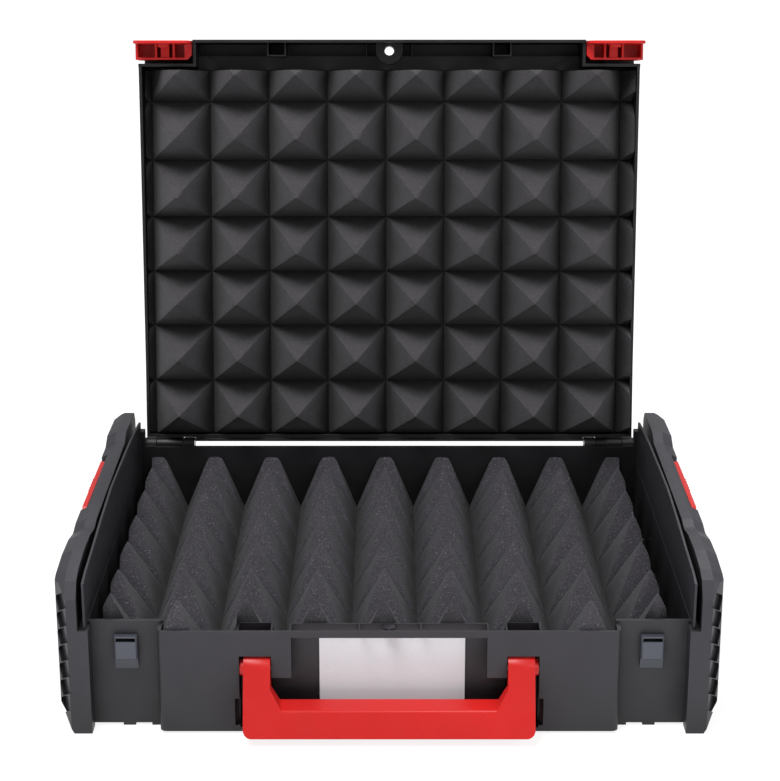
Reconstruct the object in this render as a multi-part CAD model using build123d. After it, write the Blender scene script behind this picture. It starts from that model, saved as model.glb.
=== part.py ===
from build123d import *
import math
import os

# Tool case with a hinged lid, two front latches, a drop handle and two side stacking locks.
# Millimetres. X runs to the right, Y to the rear, Z up. The origin is on the resting plane,
# at the middle of the footprint. Every lid piece is drawn closed and then turned open.

# Whole case
CASE_WIDTH = 480.0
CASE_DEPTH = 358.0
CASE_HEIGHT = 132.0
LID_DEPTH = 51.0
FRONT_Y = -CASE_DEPTH / 2
REAR_Y = CASE_DEPTH / 2
SPARE = 1.0

# Tub
WALL = 3.0
SKIN = 2.5
FRONT_ROUND = 5.0
FLOOR_Z = 2.0
FLOOR_THICKNESS = 3.0
FENDER_DEPTH = 19.5
TUB_HALF_WIDTH = CASE_WIDTH / 2 - FENDER_DEPTH
REAR_INSET = 13.0
REAR_WALL_Y = REAR_Y - REAR_INSET
REAR_WALL_DROP = 30.0
REAR_WALL_TOP = CASE_HEIGHT - REAR_WALL_DROP
RIM_Z = CASE_HEIGHT - LID_DEPTH

# Blades beside the lid, as (inset, drop) from the rear or the front and from the case's top
BLADE_REAR = ((7, 10.5), (21, 9), (75, 5), (146, 3))
BLADE_INSET = 0.7
BLADE_THICKNESS = 1.8
BLADE_FRONT = ((163, 2), (102, 6), (59, 10), (19, 13), (4, 16))

# Latch bays at the front corners
BAY_WIDTH = 53.7
BAY_DEPTH = 14.0
BAY_INNER_X = TUB_HALF_WIDTH - BAY_WIDTH
BAY_WALL_Y = FRONT_Y + BAY_DEPTH
BAY_RIM_STEP = 2.6
BAY_RIM_Z = RIM_Z + BAY_RIM_STEP

# Finger recess behind the handle
RECESS_HALF_WIDTH = 70.5
RECESS_STEP_Z = 44.5
RECESS_BOTTOM_Z = 12.0
RECESS_LINTEL = 5.0
RECESS_TOP_Z = RIM_Z - RECESS_LINTEL
RECESS_DEPTH = 14.0
RECESS_RIB_XS = (-21.4, 22.9)
RIB = 2.0
CASING = 1.2
POST_RADIUS = 4.6

# Handle
HANDLE_INSET = 5.5
HANDLE_Y = FRONT_Y + HANDLE_INSET
HANDLE_Z = 50.5
HANDLE_PIN_RADIUS = 2.5
ARM_INNER_X = 85.6
ARM_OUTER_X = 105.0
ARM_RADIUS = 10.0
ARM_BACK = 2.0
BOSS_RADIUS = 6.0
BOSS_REACH = 2.8
GRIP_REACH = 22.0
GRIP_FRONT_Y = FRONT_Y - GRIP_REACH
GRIP_CLEAR = 0.6
GRIP_BACK_Y = FRONT_Y - GRIP_CLEAR
GRIP_BOTTOM_Z = 6.8
GRIP_TOP_Z = 28.0
GRIP_FALL = 2.5
GRIP_EDGE_Z = GRIP_TOP_Z - GRIP_FALL
GRIP_ROUND = 2.5
GRIP_CORNER = 6.0
GUSSET_WIDTH = 8.0
GUSSET_HEIGHT = 11.5

# Handle slots
SLOT_INNER_CLEAR = 0.5
SLOT_OUTER_CLEAR = 3.2
SLOT_ABOVE = 11.0
SLOT_INNER_X = ARM_INNER_X - SLOT_INNER_CLEAR
SLOT_OUTER_X = ARM_OUTER_X + SLOT_OUTER_CLEAR
SLOT_BOTTOM_Z = 5.0
SLOT_TOP_Z = HANDLE_Z + SLOT_ABOVE
SLOT_DEPTH = 16.0
WELL_WIDTH = 3.5
WELL_DEPTH = 8.0
WELL_OUTER_X = SLOT_OUTER_X + WELL_WIDTH

# Side fenders, their top as (inset, drop) from the rear or the front and from the case's top
FENDER_WRAP = 4.5
FENDER_INNER_X = TUB_HALF_WIDTH + WALL
FENDER_WRAP_X = TUB_HALF_WIDTH - FENDER_WRAP
FENDER_WALL = 3.0
FENDER_CORNER = 9.0
FENDER_CORNER_LENGTH = 13.5
FENDER_TOP_FALL = 4.5
FENDER_FOOT_WIDTH = 11.0
FENDER_FOOT_HEIGHT = 20.0
FENDER_REAR = ((0, 10), (6, 2), (60, 1), (73, 7))
FENDER_FRONT = ((115, 9), (103, 11.5), (99, 11.5), (79, 8), (48, 7.5), (19, 10.5), (8, 14.5), (0, 27))
LATTICE_COUNT = 7
LATTICE_BOTTOM_Z = 14.0
LATTICE_DROP = 24.0
LATTICE_TOP_Z = CASE_HEIGHT - LATTICE_DROP
LATTICE_RIB = 2.2
LATTICE_DEPTH = 3.0
LATTICE_TILT = 28.0

# Side stacking locks
LOCK_FRONT_Y = -36.0
LOCK_LENGTH = 108.0
LOCK_HEIGHT = 27.0
LOCK_DROP = 10.5
LOCK_TOP_Z = CASE_HEIGHT - LOCK_DROP
LOCK_BOTTOM_Z = LOCK_TOP_Z - LOCK_HEIGHT
LOCK_THICKNESS = 5.0
LOCK_TRAVEL = 10.0
LOCK_GAP = 0.4
LOCK_CHAMFER = 2.0
LOCK_RIDGE = 1.0
LOCK_RIDGES = 5
LOCK_RIDGE_PITCH = 6.0

# Underside
PAD_COUNT = 3
PAD_INSET_Y = 29.0
PAD_INSET_X = 70.5
PAD_HALF_WIDTH = 6.0
FOOT_INSETS = (55.5, 34.5)
FOOT_WIDTH = 9.0
FOOT_LENGTH = 45.0

# Rear wall ribs
REAR_RIB_PITCH = 60.0
REAR_RIB_COUNT = 6
REAR_RIB_HEIGHT = 2.0

# Fender screws
SCREW_COUNT = 4
SCREW_PITCH = 80.0
SCREW_Z = 30.0
SCREW_RADIUS = 2.0
SCREW_HEAD_RADIUS = 4.0
SCREW_HEAD = 2.0
SCREW_LENGTH = 12.0
SCREW_BOSS_RADIUS = 4.5

# Hinges
HINGE_PIN_RADIUS = 2.0
KNUCKLE_RADIUS = 5.0
HINGE_BEHIND = 5.0
HINGE_ABOVE = 0.5
HINGE_Y = REAR_WALL_Y + HINGE_BEHIND
HINGE_Z = REAR_WALL_TOP + HINGE_ABOVE
HINGE_INSET = 6.5
HINGE_EAR = 9.5
HINGE_KNUCKLE = 24.0
HINGE_OUTER_X = TUB_HALF_WIDTH - HINGE_INSET
HINGE_XS = (HINGE_OUTER_X - 2 * HINGE_EAR - HINGE_KNUCKLE, HINGE_OUTER_X - HINGE_EAR - HINGE_KNUCKLE,
            HINGE_OUTER_X - HINGE_EAR, HINGE_OUTER_X)
RUNNING_GAP = 0.05
KNUCKLE_GAP = 0.4
CORNER_RISE = 14.0
EAR_RISE = 3.0

# Lid
LID_OPEN = 100.0
LID_INSET = 7.5
LID_HALF_WIDTH = TUB_HALF_WIDTH - LID_INSET
LID_WALL = 2.5
LID_PLATE = 3.0
LID_GAP = 0.3
FOAM_CLEAR = 0.5
LID_UNDERSIDE = CASE_HEIGHT - LID_PLATE
LID_FRONT_INSET = 1.0
LID_FRONT_Y = FRONT_Y + LID_FRONT_INSET
LID_REAR_Y = REAR_WALL_Y - LID_GAP
LID_REAR_RISE = 2.0
LID_REAR_RIM_Z = REAR_WALL_TOP + LID_REAR_RISE
LID_SIDE_FALL = 1.0
LID_SIDE_LENGTH = 79.0
LID_SIDE_HIGH = 9.0
LID_SIDE_LOW = 5.0
LID_SIDE_LOW_INSET = 27.0
LID_BAY_STEP = 7.0
LIP_HALF_WIDTH = 170.3
LIP_GAP = 0.8
LIP_THICKNESS = 2.0
LIP_DROP = 1.8
LID_SIDE_RIM = ((LID_REAR_Y, LID_REAR_RIM_Z), (REAR_Y - LID_SIDE_LENGTH, LID_REAR_RIM_Z - LID_SIDE_FALL),
                (FRONT_Y + LID_SIDE_LENGTH, RIM_Z + LID_SIDE_HIGH),
                (FRONT_Y + LID_SIDE_LOW_INSET, RIM_Z + LID_SIDE_LOW))
LEDGE_WIDTH = 12.5
LEDGE_FRONT_Y = LID_FRONT_Y + LEDGE_WIDTH
LEDGE_REAR_Y = LEDGE_FRONT_Y + LEDGE_WIDTH
LEDGE_DEPTH = 16.0
LEDGE_Z = CASE_HEIGHT - LEDGE_DEPTH
LID_BAY_Y = BAY_WALL_Y + LID_BAY_STEP
TAB_RADIUS = 11.5
TAB_HOLE_RADIUS = 4.1
TAB_REACH = 8.4
TAB_Y = LID_FRONT_Y + TAB_REACH
TAB_BOTTOM_Z = REAR_WALL_TOP + FOAM_CLEAR
FRAME_X = 96.0
FRAME_HALF = 8.0
FRAME_WALL = 1.2
FRAME_LIFT = 9.0
FRAME_BOTTOM_Z = RIM_Z + FRAME_LIFT
LID_RIB_X = 19.0
BRACE_X = 148.0
BRACE_LENGTH = 17.0
BRACE_TURN = 55.0
LID_PANEL_INSET = 24.0
LID_PANEL_DEPTH = 1.0
LID_BEAD_COUNT = 4
LID_BEAD_PITCH = 70.0
LID_BEAD_INSET = 63.0

# Catches
CATCH_INSET = 23.75
CATCH_MIDDLE_X = BAY_INNER_X + CATCH_INSET
CATCH_WIDTH = 17.0
CATCH_HEIGHT = 17.5
CATCH_TAIL = 10.0
CATCH_REACH = 5.2
CATCH_CHAMFER = 1.2
CATCH_SIDE = 1.5
CATCH_BACK = 0.2
CATCH_INNER_X = CATCH_MIDDLE_X - CATCH_WIDTH / 2
CATCH_OUTER_X = CATCH_MIDDLE_X + CATCH_WIDTH / 2
CATCH_DROP = 10.8
CATCH_TOP_Z = BAY_RIM_Z - CATCH_DROP
CATCH_BOTTOM_Z = CATCH_TOP_Z - CATCH_HEIGHT
CATCH_FACE_Y = BAY_WALL_Y - CATCH_REACH
CATCH_SLOT_DROP = 1.2
CATCH_SLOT_HEIGHT = 3.0
CATCH_SLOT_TOP = CATCH_TOP_Z - CATCH_SLOT_DROP
CATCH_SLOT_BOTTOM = CATCH_SLOT_TOP - CATCH_SLOT_HEIGHT

# Latches
LATCH_CLEAR = 0.6
LATCH_INNER_X = BAY_INNER_X + LATCH_CLEAR
LATCH_OUTER_X = FENDER_WRAP_X - LATCH_CLEAR
LUG_WIDTH = 9.0
LUG_RADIUS = 3.2
LUG_CLEAR = 1.0
LUG_XS = (CATCH_MIDDLE_X - LUG_WIDTH / 2, CATCH_MIDDLE_X + LUG_WIDTH / 2)
LATCH_INSET = 6.8
LATCH_DROP = 10.0
LATCH_Y = FRONT_Y + LATCH_INSET
LATCH_Z = CASE_HEIGHT - LATCH_DROP
LATCH_BARREL = 4.6
LATCH_FACE_Y = LATCH_Y - LATCH_BARREL
LATCH_PIN_RADIUS = 1.5
LATCH_PLATE = 2.5
LATCH_LIP = 7.0
LATCH_BOTTOM_Z = CATCH_TOP_Z - LATCH_LIP
LATCH_CORNER = 4.0
BOX_THICKNESS = 15.6
BOX_BACK_Y = LATCH_FACE_Y + BOX_THICKNESS
BOX_ABOVE_RIM = 1.6
BOX_BOTTOM_Z = BAY_RIM_Z + BOX_ABOVE_RIM
BOX_TOP_Z = LATCH_Z - 2 * LATCH_BARREL
BOX_WALL = 2.0
BOX_INNER_WALL = 6.5
BOX_CHAMFER = 4.0
POCKET_DEPTH = 16.0
MIDDLE_SLOT = 13.2
MIDDLE_SLOT_WALL = 1.8
FINGER_WIDTH = 7.2
TONGUE_DROP = 1.5
TONGUE_Z = CATCH_SLOT_TOP - TONGUE_DROP
TONGUE_THICKNESS = 1.4
TONGUE_WIDTH = 8.0
TONGUE_CLEAR = 1.0
TONGUE_TIP_Y = CATCH_FACE_Y - TONGUE_CLEAR

# Label plate
LABEL_HALF_WIDTH = 52.9
LABEL_SHIFT_X = 2.2
LABEL_BOTTOM_Z = 20.0
LABEL_THICKNESS = 0.8

# Foam
BASE_FOAM_SHIFT_X = -2.9
PYRAMID_TIP = 4.0
BASE_FOAM_CLEAR = 4.5
BASE_PITCH_X = 49.5
BASE_PITCH_Y = 56.0
BASE_ROW_BEYOND = 6.0
BASE_FIRST_ROW_Y = REAR_WALL_Y + BASE_ROW_BEYOND
BASE_PYRAMID = 55.0
BASE_PEAK_Z = REAR_WALL_TOP
BASE_VALLEY_Z = BASE_PEAK_Z - BASE_PYRAMID
LID_FOAM_SHIFT_X = -2.9
LID_PITCH_X = 50.2
LID_PITCH_Y = 48.2
LID_FOAM_SLAB = 14.0
LID_PYRAMID = 57.0
LID_FOAM_SIDE_GAP = 0.4


def block(x0, x1, y0, y1, z0, z1):
    """A box between two corners."""
    size = Box(abs(x1 - x0), abs(y1 - y0), abs(z1 - z0))
    return Pos((x0 + x1) / 2, (y0 + y1) / 2, (z0 + z1) / 2) * size


def bar_x(x0, x1, y, z, radius):
    """A round bar along X between two X values."""
    bar = Cylinder(radius, abs(x1 - x0))
    return Pos((x0 + x1) / 2, y, z) * Rot(0, 90, 0) * bar


def post_z(x, y, z0, z1, radius):
    """A round post along Z between two heights."""
    return Pos(x, y, (z0 + z1) / 2) * Cylinder(radius, z1 - z0)


def side_panel(points, x0, x1):
    """A panel cut to an outline of (Y, Z) points and as thick as x0 to x1."""
    outline = Plane.YZ * make_face(Polyline(*points, close=True))
    return Pos(x0, 0, 0) * extrude(outline, amount=x1 - x0, dir=(1, 0, 0))


def top_outline(rear, front):
    """Points of a top edge from (inset, drop) pairs, from the rear to the front."""
    points = [(REAR_Y - inset, CASE_HEIGHT - drop) for inset, drop in rear]
    return points + [(FRONT_Y + inset, CASE_HEIGHT - drop) for inset, drop in front]


def spread(count, pitch):
    """Places of a row with its middle at zero."""
    return [(number - (count - 1) / 2) * pitch for number in range(count)]


def mirrored(part):
    """The same piece on the other side of the case."""
    return mirror(part, about=Plane.YZ)


def opened(part):
    """A lid piece, drawn closed, at its open place."""
    return part.rotate(Axis((0, HINGE_Y, HINGE_Z), (1, 0, 0)), -LID_OPEN)


def both_sides(part):
    """A feature and its mirror image."""
    return part + mirrored(part)


def zigzag(low, high, first, pitch, valley, peak, floor):
    """Outline of a row of pyramids, cut off at low and high, as (along, height) points."""
    half = pitch / 2
    flat = PYRAMID_TIP / 2
    slope = (peak - valley) / (half - flat)

    def height(at):
        away = abs((at - first + half) % pitch - half)
        return min(peak, valley + (half - away) * slope)

    corners = {low, high}
    start = math.floor((low - first) / pitch) - 1
    stop = math.ceil((high - first) / pitch) + 1
    for number in range(start, stop + 1):
        centre = first + number * pitch
        corners.update((centre - flat, centre + flat, centre + half))
    inside = sorted(at for at in corners if low <= at <= high)
    return [(low, floor)] + [(at, height(at)) for at in inside] + [(high, floor)]


def pyramid_pad(x_range, y_range, first, pitch, valley, peak, floor):
    """A foam pad with rows of pyramids: what two crossed sets of ridges share."""
    across = zigzag(*x_range, first[0], pitch[0], valley, peak, floor)
    along = zigzag(*y_range, first[1], pitch[1], valley, peak, floor)
    ridge_y = extrude(Plane.XZ * make_face(Polyline(*across, close=True)), amount=-CASE_DEPTH, both=True)
    ridge_x = side_panel(along, -CASE_WIDTH / 2, CASE_WIDTH / 2)
    return ridge_y & ridge_x


def make_base_shell():
    """Tub with blades that guide the lid, latch bays, finger recess and handle slots."""
    inside = TUB_HALF_WIDTH - WALL
    floor_top = FLOOR_Z + FLOOR_THICKNESS
    shell = block(-TUB_HALF_WIDTH, TUB_HALF_WIDTH, BAY_WALL_Y, REAR_WALL_Y, FLOOR_Z, BAY_RIM_Z)
    shell += block(-BAY_INNER_X, BAY_INNER_X, FRONT_Y, BAY_WALL_Y, FLOOR_Z, RIM_Z)
    shell -= block(-inside, inside, BAY_WALL_Y + WALL, REAR_WALL_Y - WALL, floor_top, CASE_HEIGHT)
    shell -= block(-BAY_INNER_X + WALL, BAY_INNER_X - WALL, FRONT_Y + SKIN, 0, floor_top, CASE_HEIGHT)
    shell += block(-TUB_HALF_WIDTH, TUB_HALF_WIDTH, REAR_WALL_Y - WALL, REAR_WALL_Y, FLOOR_Z, REAR_WALL_TOP)
    top = top_outline(BLADE_REAR, BLADE_FRONT)
    blade = [(top[0][0], BAY_RIM_Z)] + top + [(top[-1][0], RIM_Z + LID_GAP), (BAY_WALL_Y, RIM_Z + LID_GAP)]
    blade += [(BAY_WALL_Y, RIM_Z - WALL), (REAR_WALL_Y, RIM_Z - WALL)]
    blade_x = TUB_HALF_WIDTH - BLADE_INSET
    shell += both_sides(side_panel(blade, blade_x - BLADE_THICKNESS, blade_x))
    corner_y = (REAR_WALL_Y - WALL, HINGE_Y)
    shell += both_sides(block(HINGE_OUTER_X, blade_x, *corner_y, RIM_Z, REAR_WALL_TOP + CORNER_RISE))
    shell = finger_recess(shell)
    shell = handle_slots(shell)
    shell += both_sides(base_knuckles())
    shell -= both_sides(bar_x(HINGE_XS[0], HINGE_XS[3], HINGE_Y, HINGE_Z, HINGE_PIN_RADIUS + RUNNING_GAP))
    for y in spread(SCREW_COUNT, SCREW_PITCH):
        hole = bar_x(inside - WALL, TUB_HALF_WIDTH + WALL, y, SCREW_Z, SCREW_RADIUS + RUNNING_GAP)
        shell -= both_sides(hole)
    corners = [edge for edge in shell.edges().filter_by(Axis.Z) if is_front_corner(edge.center())]
    return fillet(corners, FRONT_ROUND) + underside() + rear_ribs()


def is_front_corner(middle):
    """Whether an upright edge with this middle is where the front meets a latch bay."""
    return abs(middle.Y - FRONT_Y) < SKIN / 2 and abs(abs(middle.X) - BAY_INNER_X) < SKIN / 2


def finger_recess(shell):
    """The recess behind the handle, which is as wide as the handle's opening below its step."""
    back = FRONT_Y + RECESS_DEPTH
    half = RECESS_HALF_WIDTH
    shell += block(-half - CASING, half + CASING, FRONT_Y, back + CASING, RECESS_BOTTOM_Z - CASING, RIM_Z)
    shell += block(-ARM_INNER_X, ARM_INNER_X, FRONT_Y, back + CASING, RECESS_BOTTOM_Z - CASING, RECESS_STEP_Z + CASING)
    shell -= block(-half, half, FRONT_Y + SKIN, back, RECESS_BOTTOM_Z, CASE_HEIGHT)
    shell -= block(-half, half, FRONT_Y - SKIN, back, RECESS_BOTTOM_Z, RECESS_TOP_Z)
    shell -= block(-ARM_INNER_X, ARM_INNER_X, FRONT_Y - SKIN, back, RECESS_BOTTOM_Z, RECESS_STEP_Z)
    for x in RECESS_RIB_XS:
        shell += block(x - CASING / 2, x + CASING / 2, FRONT_Y, back, RECESS_TOP_Z, RIM_Z)
    shell += post_z(0, back - POST_RADIUS, RECESS_TOP_Z, RIM_Z, POST_RADIUS)
    return shell + block(-CASING / 2, CASING / 2, FRONT_Y, back, RECESS_TOP_Z, RIM_Z)


def handle_slots(shell):
    """The slots that the handle's arms turn in, with a shallow well beside each end of the grip."""
    back = FRONT_Y + SLOT_DEPTH
    well_back = FRONT_Y + WELL_DEPTH
    low_x = SLOT_INNER_X - CASING
    casing = block(low_x, SLOT_OUTER_X + CASING, FRONT_Y, back + CASING, FLOOR_Z, RIM_Z)
    casing += block(SLOT_OUTER_X, WELL_OUTER_X + CASING, FRONT_Y, well_back + CASING, FLOOR_Z, GRIP_TOP_Z + CASING)
    slot = block(SLOT_INNER_X, SLOT_OUTER_X, FRONT_Y - SKIN, back, SLOT_BOTTOM_Z, SLOT_TOP_Z)
    slot += block(SLOT_INNER_X, SLOT_OUTER_X, FRONT_Y + SKIN, back, SLOT_BOTTOM_Z, CASE_HEIGHT)
    slot += block(SLOT_OUTER_X, WELL_OUTER_X, FRONT_Y - SKIN, well_back, GRIP_BOTTOM_Z, GRIP_TOP_Z)
    slot += block(low_x, SLOT_INNER_X, FRONT_Y - SKIN, FRONT_Y + RECESS_DEPTH, RECESS_BOTTOM_Z, RECESS_STEP_Z)
    shell += both_sides(casing)
    shell -= both_sides(slot)
    pin_hole = bar_x(low_x, SLOT_OUTER_X + CASING, HANDLE_Y, HANDLE_Z, HANDLE_PIN_RADIUS + RUNNING_GAP)
    return shell - both_sides(pin_hole)


def underside():
    """Long pads and corner feet that the case stands on."""
    pads = None
    half = TUB_HALF_WIDTH - PAD_INSET_X
    pitch = (CASE_DEPTH - 2 * PAD_INSET_Y) / (PAD_COUNT - 1)
    for y in spread(PAD_COUNT, pitch):
        pad = block(-half, half, y - PAD_HALF_WIDTH, y + PAD_HALF_WIDTH, 0, FLOOR_Z)
        pads = pad if pads is None else pads + pad
    for inset in FOOT_INSETS:
        x = TUB_HALF_WIDTH - inset
        for y in (BAY_WALL_Y, REAR_WALL_Y - FOOT_LENGTH):
            pads += both_sides(block(x, x + FOOT_WIDTH, y, y + FOOT_LENGTH, 0, FLOOR_Z))
    return pads


def rear_ribs():
    """Upright ribs on the outside of the rear wall, which end below the lid's rear lip."""
    ribs = None
    top = REAR_WALL_TOP - 2 * LIP_DROP
    for x in spread(REAR_RIB_COUNT, REAR_RIB_PITCH):
        rib = block(x - RIB, x + RIB, REAR_WALL_Y, REAR_WALL_Y + REAR_RIB_HEIGHT, FLOOR_Z, top)
        ribs = rib if ribs is None else ribs + rib
    return ribs


def base_knuckles():
    """The two outer hinge knuckles on the right of the tub."""
    knuckles = None
    for x0, x1 in ((HINGE_XS[0], HINGE_XS[1]), (HINGE_XS[2], HINGE_XS[3])):
        ear = bar_x(x0, x1, HINGE_Y, HINGE_Z, KNUCKLE_RADIUS)
        ear += block(x0, x1, REAR_WALL_Y - WALL, REAR_Y, HINGE_Z - 3 * KNUCKLE_RADIUS, HINGE_Z)
        ear += block(x0, x1, HINGE_Y, REAR_Y, HINGE_Z, HINGE_Z + EAR_RISE)
        knuckles = ear if knuckles is None else knuckles + ear
    return knuckles


def make_fender():
    """Right side fender: hollow outside panel with a folded top and a latticed front corner."""
    outer_x = CASE_WIDTH / 2
    outline = [(REAR_Y, 0)] + top_outline(FENDER_REAR, FENDER_FRONT) + [(FRONT_Y, 0)]
    panel = side_panel(outline, FENDER_INNER_X, outer_x)
    lower = block(TUB_HALF_WIDTH, FENDER_INNER_X, FRONT_Y, REAR_Y, 0, RIM_Z)
    wrap = block(FENDER_WRAP_X, FENDER_INNER_X, FRONT_Y, BAY_WALL_Y, 0, RIM_Z)
    panel = panel + lower + wrap
    turn_y = FRONT_Y + FENDER_CORNER_LENGTH
    side_cut = Plane.XY * make_face(Polyline(
        (outer_x + SPARE, FRONT_Y - SPARE), (outer_x + SPARE, turn_y), (outer_x, turn_y),
        (outer_x - FENDER_CORNER, FRONT_Y), (outer_x - FENDER_CORNER, FRONT_Y - SPARE), close=True))
    corner = extrude(side_cut, amount=CASE_HEIGHT)
    panel -= corner
    panel -= mirror(corner, about=Plane.XZ)
    foot_x = outer_x - FENDER_FOOT_WIDTH
    foot = Plane.XZ * make_face(Polyline(
        (outer_x + SPARE, -SPARE), (outer_x + SPARE, FENDER_FOOT_HEIGHT), (outer_x, FENDER_FOOT_HEIGHT), (foot_x, 0),
        (foot_x, -SPARE), close=True))
    panel -= extrude(foot, amount=CASE_DEPTH, both=True)
    panel -= top_fall(outer_x)
    panel -= fender_hollow(outer_x)
    panel -= lattice(outer_x)
    panel -= lock_pocket(outer_x)
    for y in spread(SCREW_COUNT, SCREW_PITCH):
        boss = bar_x(TUB_HALF_WIDTH, TUB_HALF_WIDTH + SCREW_LENGTH, y, SCREW_Z, SCREW_BOSS_RADIUS)
        panel += boss
        panel -= bar_x(TUB_HALF_WIDTH, TUB_HALF_WIDTH + SCREW_LENGTH - SCREW_HEAD, y, SCREW_Z,
                       SCREW_RADIUS + RUNNING_GAP)
    return panel


def top_fall(outer_x):
    """The wedges that slope the fender's top outwards, one along each stretch of it."""
    half = (outer_x - FENDER_INNER_X) / 2
    wedge = None
    top = top_outline(FENDER_REAR, FENDER_FRONT)
    for (y0, z0), (y1, z1) in zip(top, top[1:]):
        ends = []
        for y, z in ((y0, z0), (y1, z1)):
            section = Plane(origin=(0, y, 0), x_dir=(1, 0, 0), z_dir=(0, -1, 0)) * make_face(Polyline(
                (outer_x - half, z), (outer_x + SPARE, z - FENDER_TOP_FALL), (outer_x + SPARE, z + 2 * half),
                (outer_x - half, z + 2 * half), close=True))
            ends.append(section)
        piece = loft(ends, ruled=True)
        wedge = piece if wedge is None else wedge + piece
    return wedge


def fender_hollow(outer_x):
    """The space between the tub's wall and the fender's skin."""
    shrink = 2 * FENDER_WALL
    low = block(TUB_HALF_WIDTH - SPARE, outer_x - FENDER_FOOT_WIDTH - FENDER_WALL, BAY_WALL_Y + WALL,
                REAR_Y - FENDER_CORNER, FENDER_WALL, RIM_Z - FENDER_WALL)
    wide = block(TUB_HALF_WIDTH + WALL, outer_x - FENDER_WALL - LOCK_THICKNESS, FRONT_Y + 2 * FENDER_CORNER,
                 REAR_Y - 2 * FENDER_CORNER, FENDER_FOOT_HEIGHT + FENDER_WALL, RIM_Z - shrink)
    return low + wide


def lattice(outer_x):
    """Slanted pockets up the fender's front corner, with thin ribs between them."""
    pitch = (LATTICE_TOP_Z - LATTICE_BOTTOM_Z) / LATTICE_COUNT
    slope = math.degrees(math.atan2(FENDER_CORNER_LENGTH, FENDER_CORNER))
    middle = (outer_x - FENDER_CORNER / 2, FRONT_Y + FENDER_CORNER_LENGTH / 2)
    span = math.hypot(FENDER_CORNER, FENDER_CORNER_LENGTH) - LATTICE_RIB
    pockets = None
    for number in range(LATTICE_COUNT):
        z = LATTICE_BOTTOM_Z + (number + 0.5) * pitch
        pocket = Box(span, 2 * LATTICE_DEPTH, pitch - LATTICE_RIB)
        pocket = Pos(*middle, z) * Rot(0, 0, slope) * Rot(0, LATTICE_TILT, 0) * pocket
        pockets = pocket if pockets is None else pockets + pocket
    return pockets


def lock_pocket(outer_x):
    """The track in the fender's outer face that the stacking lock slides in."""
    low_y = LOCK_FRONT_Y - LOCK_GAP
    high_y = LOCK_FRONT_Y + LOCK_LENGTH + LOCK_TRAVEL + LOCK_GAP
    return block(outer_x - LOCK_THICKNESS, outer_x + SPARE, low_y, high_y, LOCK_BOTTOM_Z - LOCK_GAP, CASE_HEIGHT)


def make_side_lock():
    """Red stacking lock on the right: a flat slider with finger ridges."""
    outer_x = CASE_WIDTH / 2
    face_x = outer_x - LOCK_RIDGE
    lock = block(outer_x - LOCK_THICKNESS + LOCK_GAP, face_x, LOCK_FRONT_Y, LOCK_FRONT_Y + LOCK_LENGTH, LOCK_BOTTOM_Z,
                 LOCK_TOP_Z)
    lock = chamfer(lock.edges().filter_by(Axis.X), LOCK_CHAMFER)
    middle_y = LOCK_FRONT_Y + LOCK_LENGTH / 2
    for step in spread(LOCK_RIDGES, LOCK_RIDGE_PITCH):
        y = middle_y + step
        lock += block(face_x - LOCK_RIDGE, outer_x, y - LOCK_RIDGE, y + LOCK_RIDGE, LOCK_BOTTOM_Z + LOCK_RIDGE_PITCH,
                      LOCK_TOP_Z - LOCK_RIDGE)
    return lock


def make_fender_screws():
    """Screws from inside the tub into the fender bosses, both sides."""
    inside = TUB_HALF_WIDTH - WALL
    screws = None
    for y in spread(SCREW_COUNT, SCREW_PITCH):
        head = bar_x(inside - SCREW_HEAD, inside, y, SCREW_Z, SCREW_HEAD_RADIUS)
        shank = bar_x(inside, TUB_HALF_WIDTH + SCREW_LENGTH - 2 * SCREW_HEAD, y, SCREW_Z, SCREW_RADIUS)
        screw = head + shank
        screws = screw if screws is None else screws + screw
    return both_sides(screws)


def make_catch():
    """Catch on the right latch bay, with the slot that the latch's tongue enters."""
    catch = block(CATCH_INNER_X, CATCH_OUTER_X, CATCH_FACE_Y, BAY_WALL_Y, CATCH_BOTTOM_Z, CATCH_TOP_Z)
    catch = chamfer(catch.edges().filter_by(Axis.Z).sort_by(Axis.Y)[:2], CATCH_CHAMFER)
    tail = [(BAY_WALL_Y, CATCH_BOTTOM_Z - CATCH_TAIL), (BAY_WALL_Y, CATCH_BOTTOM_Z),
            (CATCH_FACE_Y + RIB, CATCH_BOTTOM_Z)]
    catch += side_panel(tail, CATCH_INNER_X, CATCH_OUTER_X)
    slot_x = CATCH_INNER_X + CATCH_SIDE
    slot_y = BAY_WALL_Y - CATCH_BACK
    return catch - block(slot_x, CATCH_OUTER_X - CATCH_SIDE, CATCH_FACE_Y - SPARE, slot_y, CATCH_SLOT_BOTTOM,
                         CATCH_SLOT_TOP)


def make_label_plate():
    """Bare plate at the back of the finger recess."""
    back = FRONT_Y + RECESS_DEPTH
    plate = block(-LABEL_HALF_WIDTH, LABEL_HALF_WIDTH, back - LABEL_THICKNESS, back, LABEL_BOTTOM_Z, RECESS_TOP_Z - RIB)
    return Pos(LABEL_SHIFT_X, 0, 0) * plate


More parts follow.
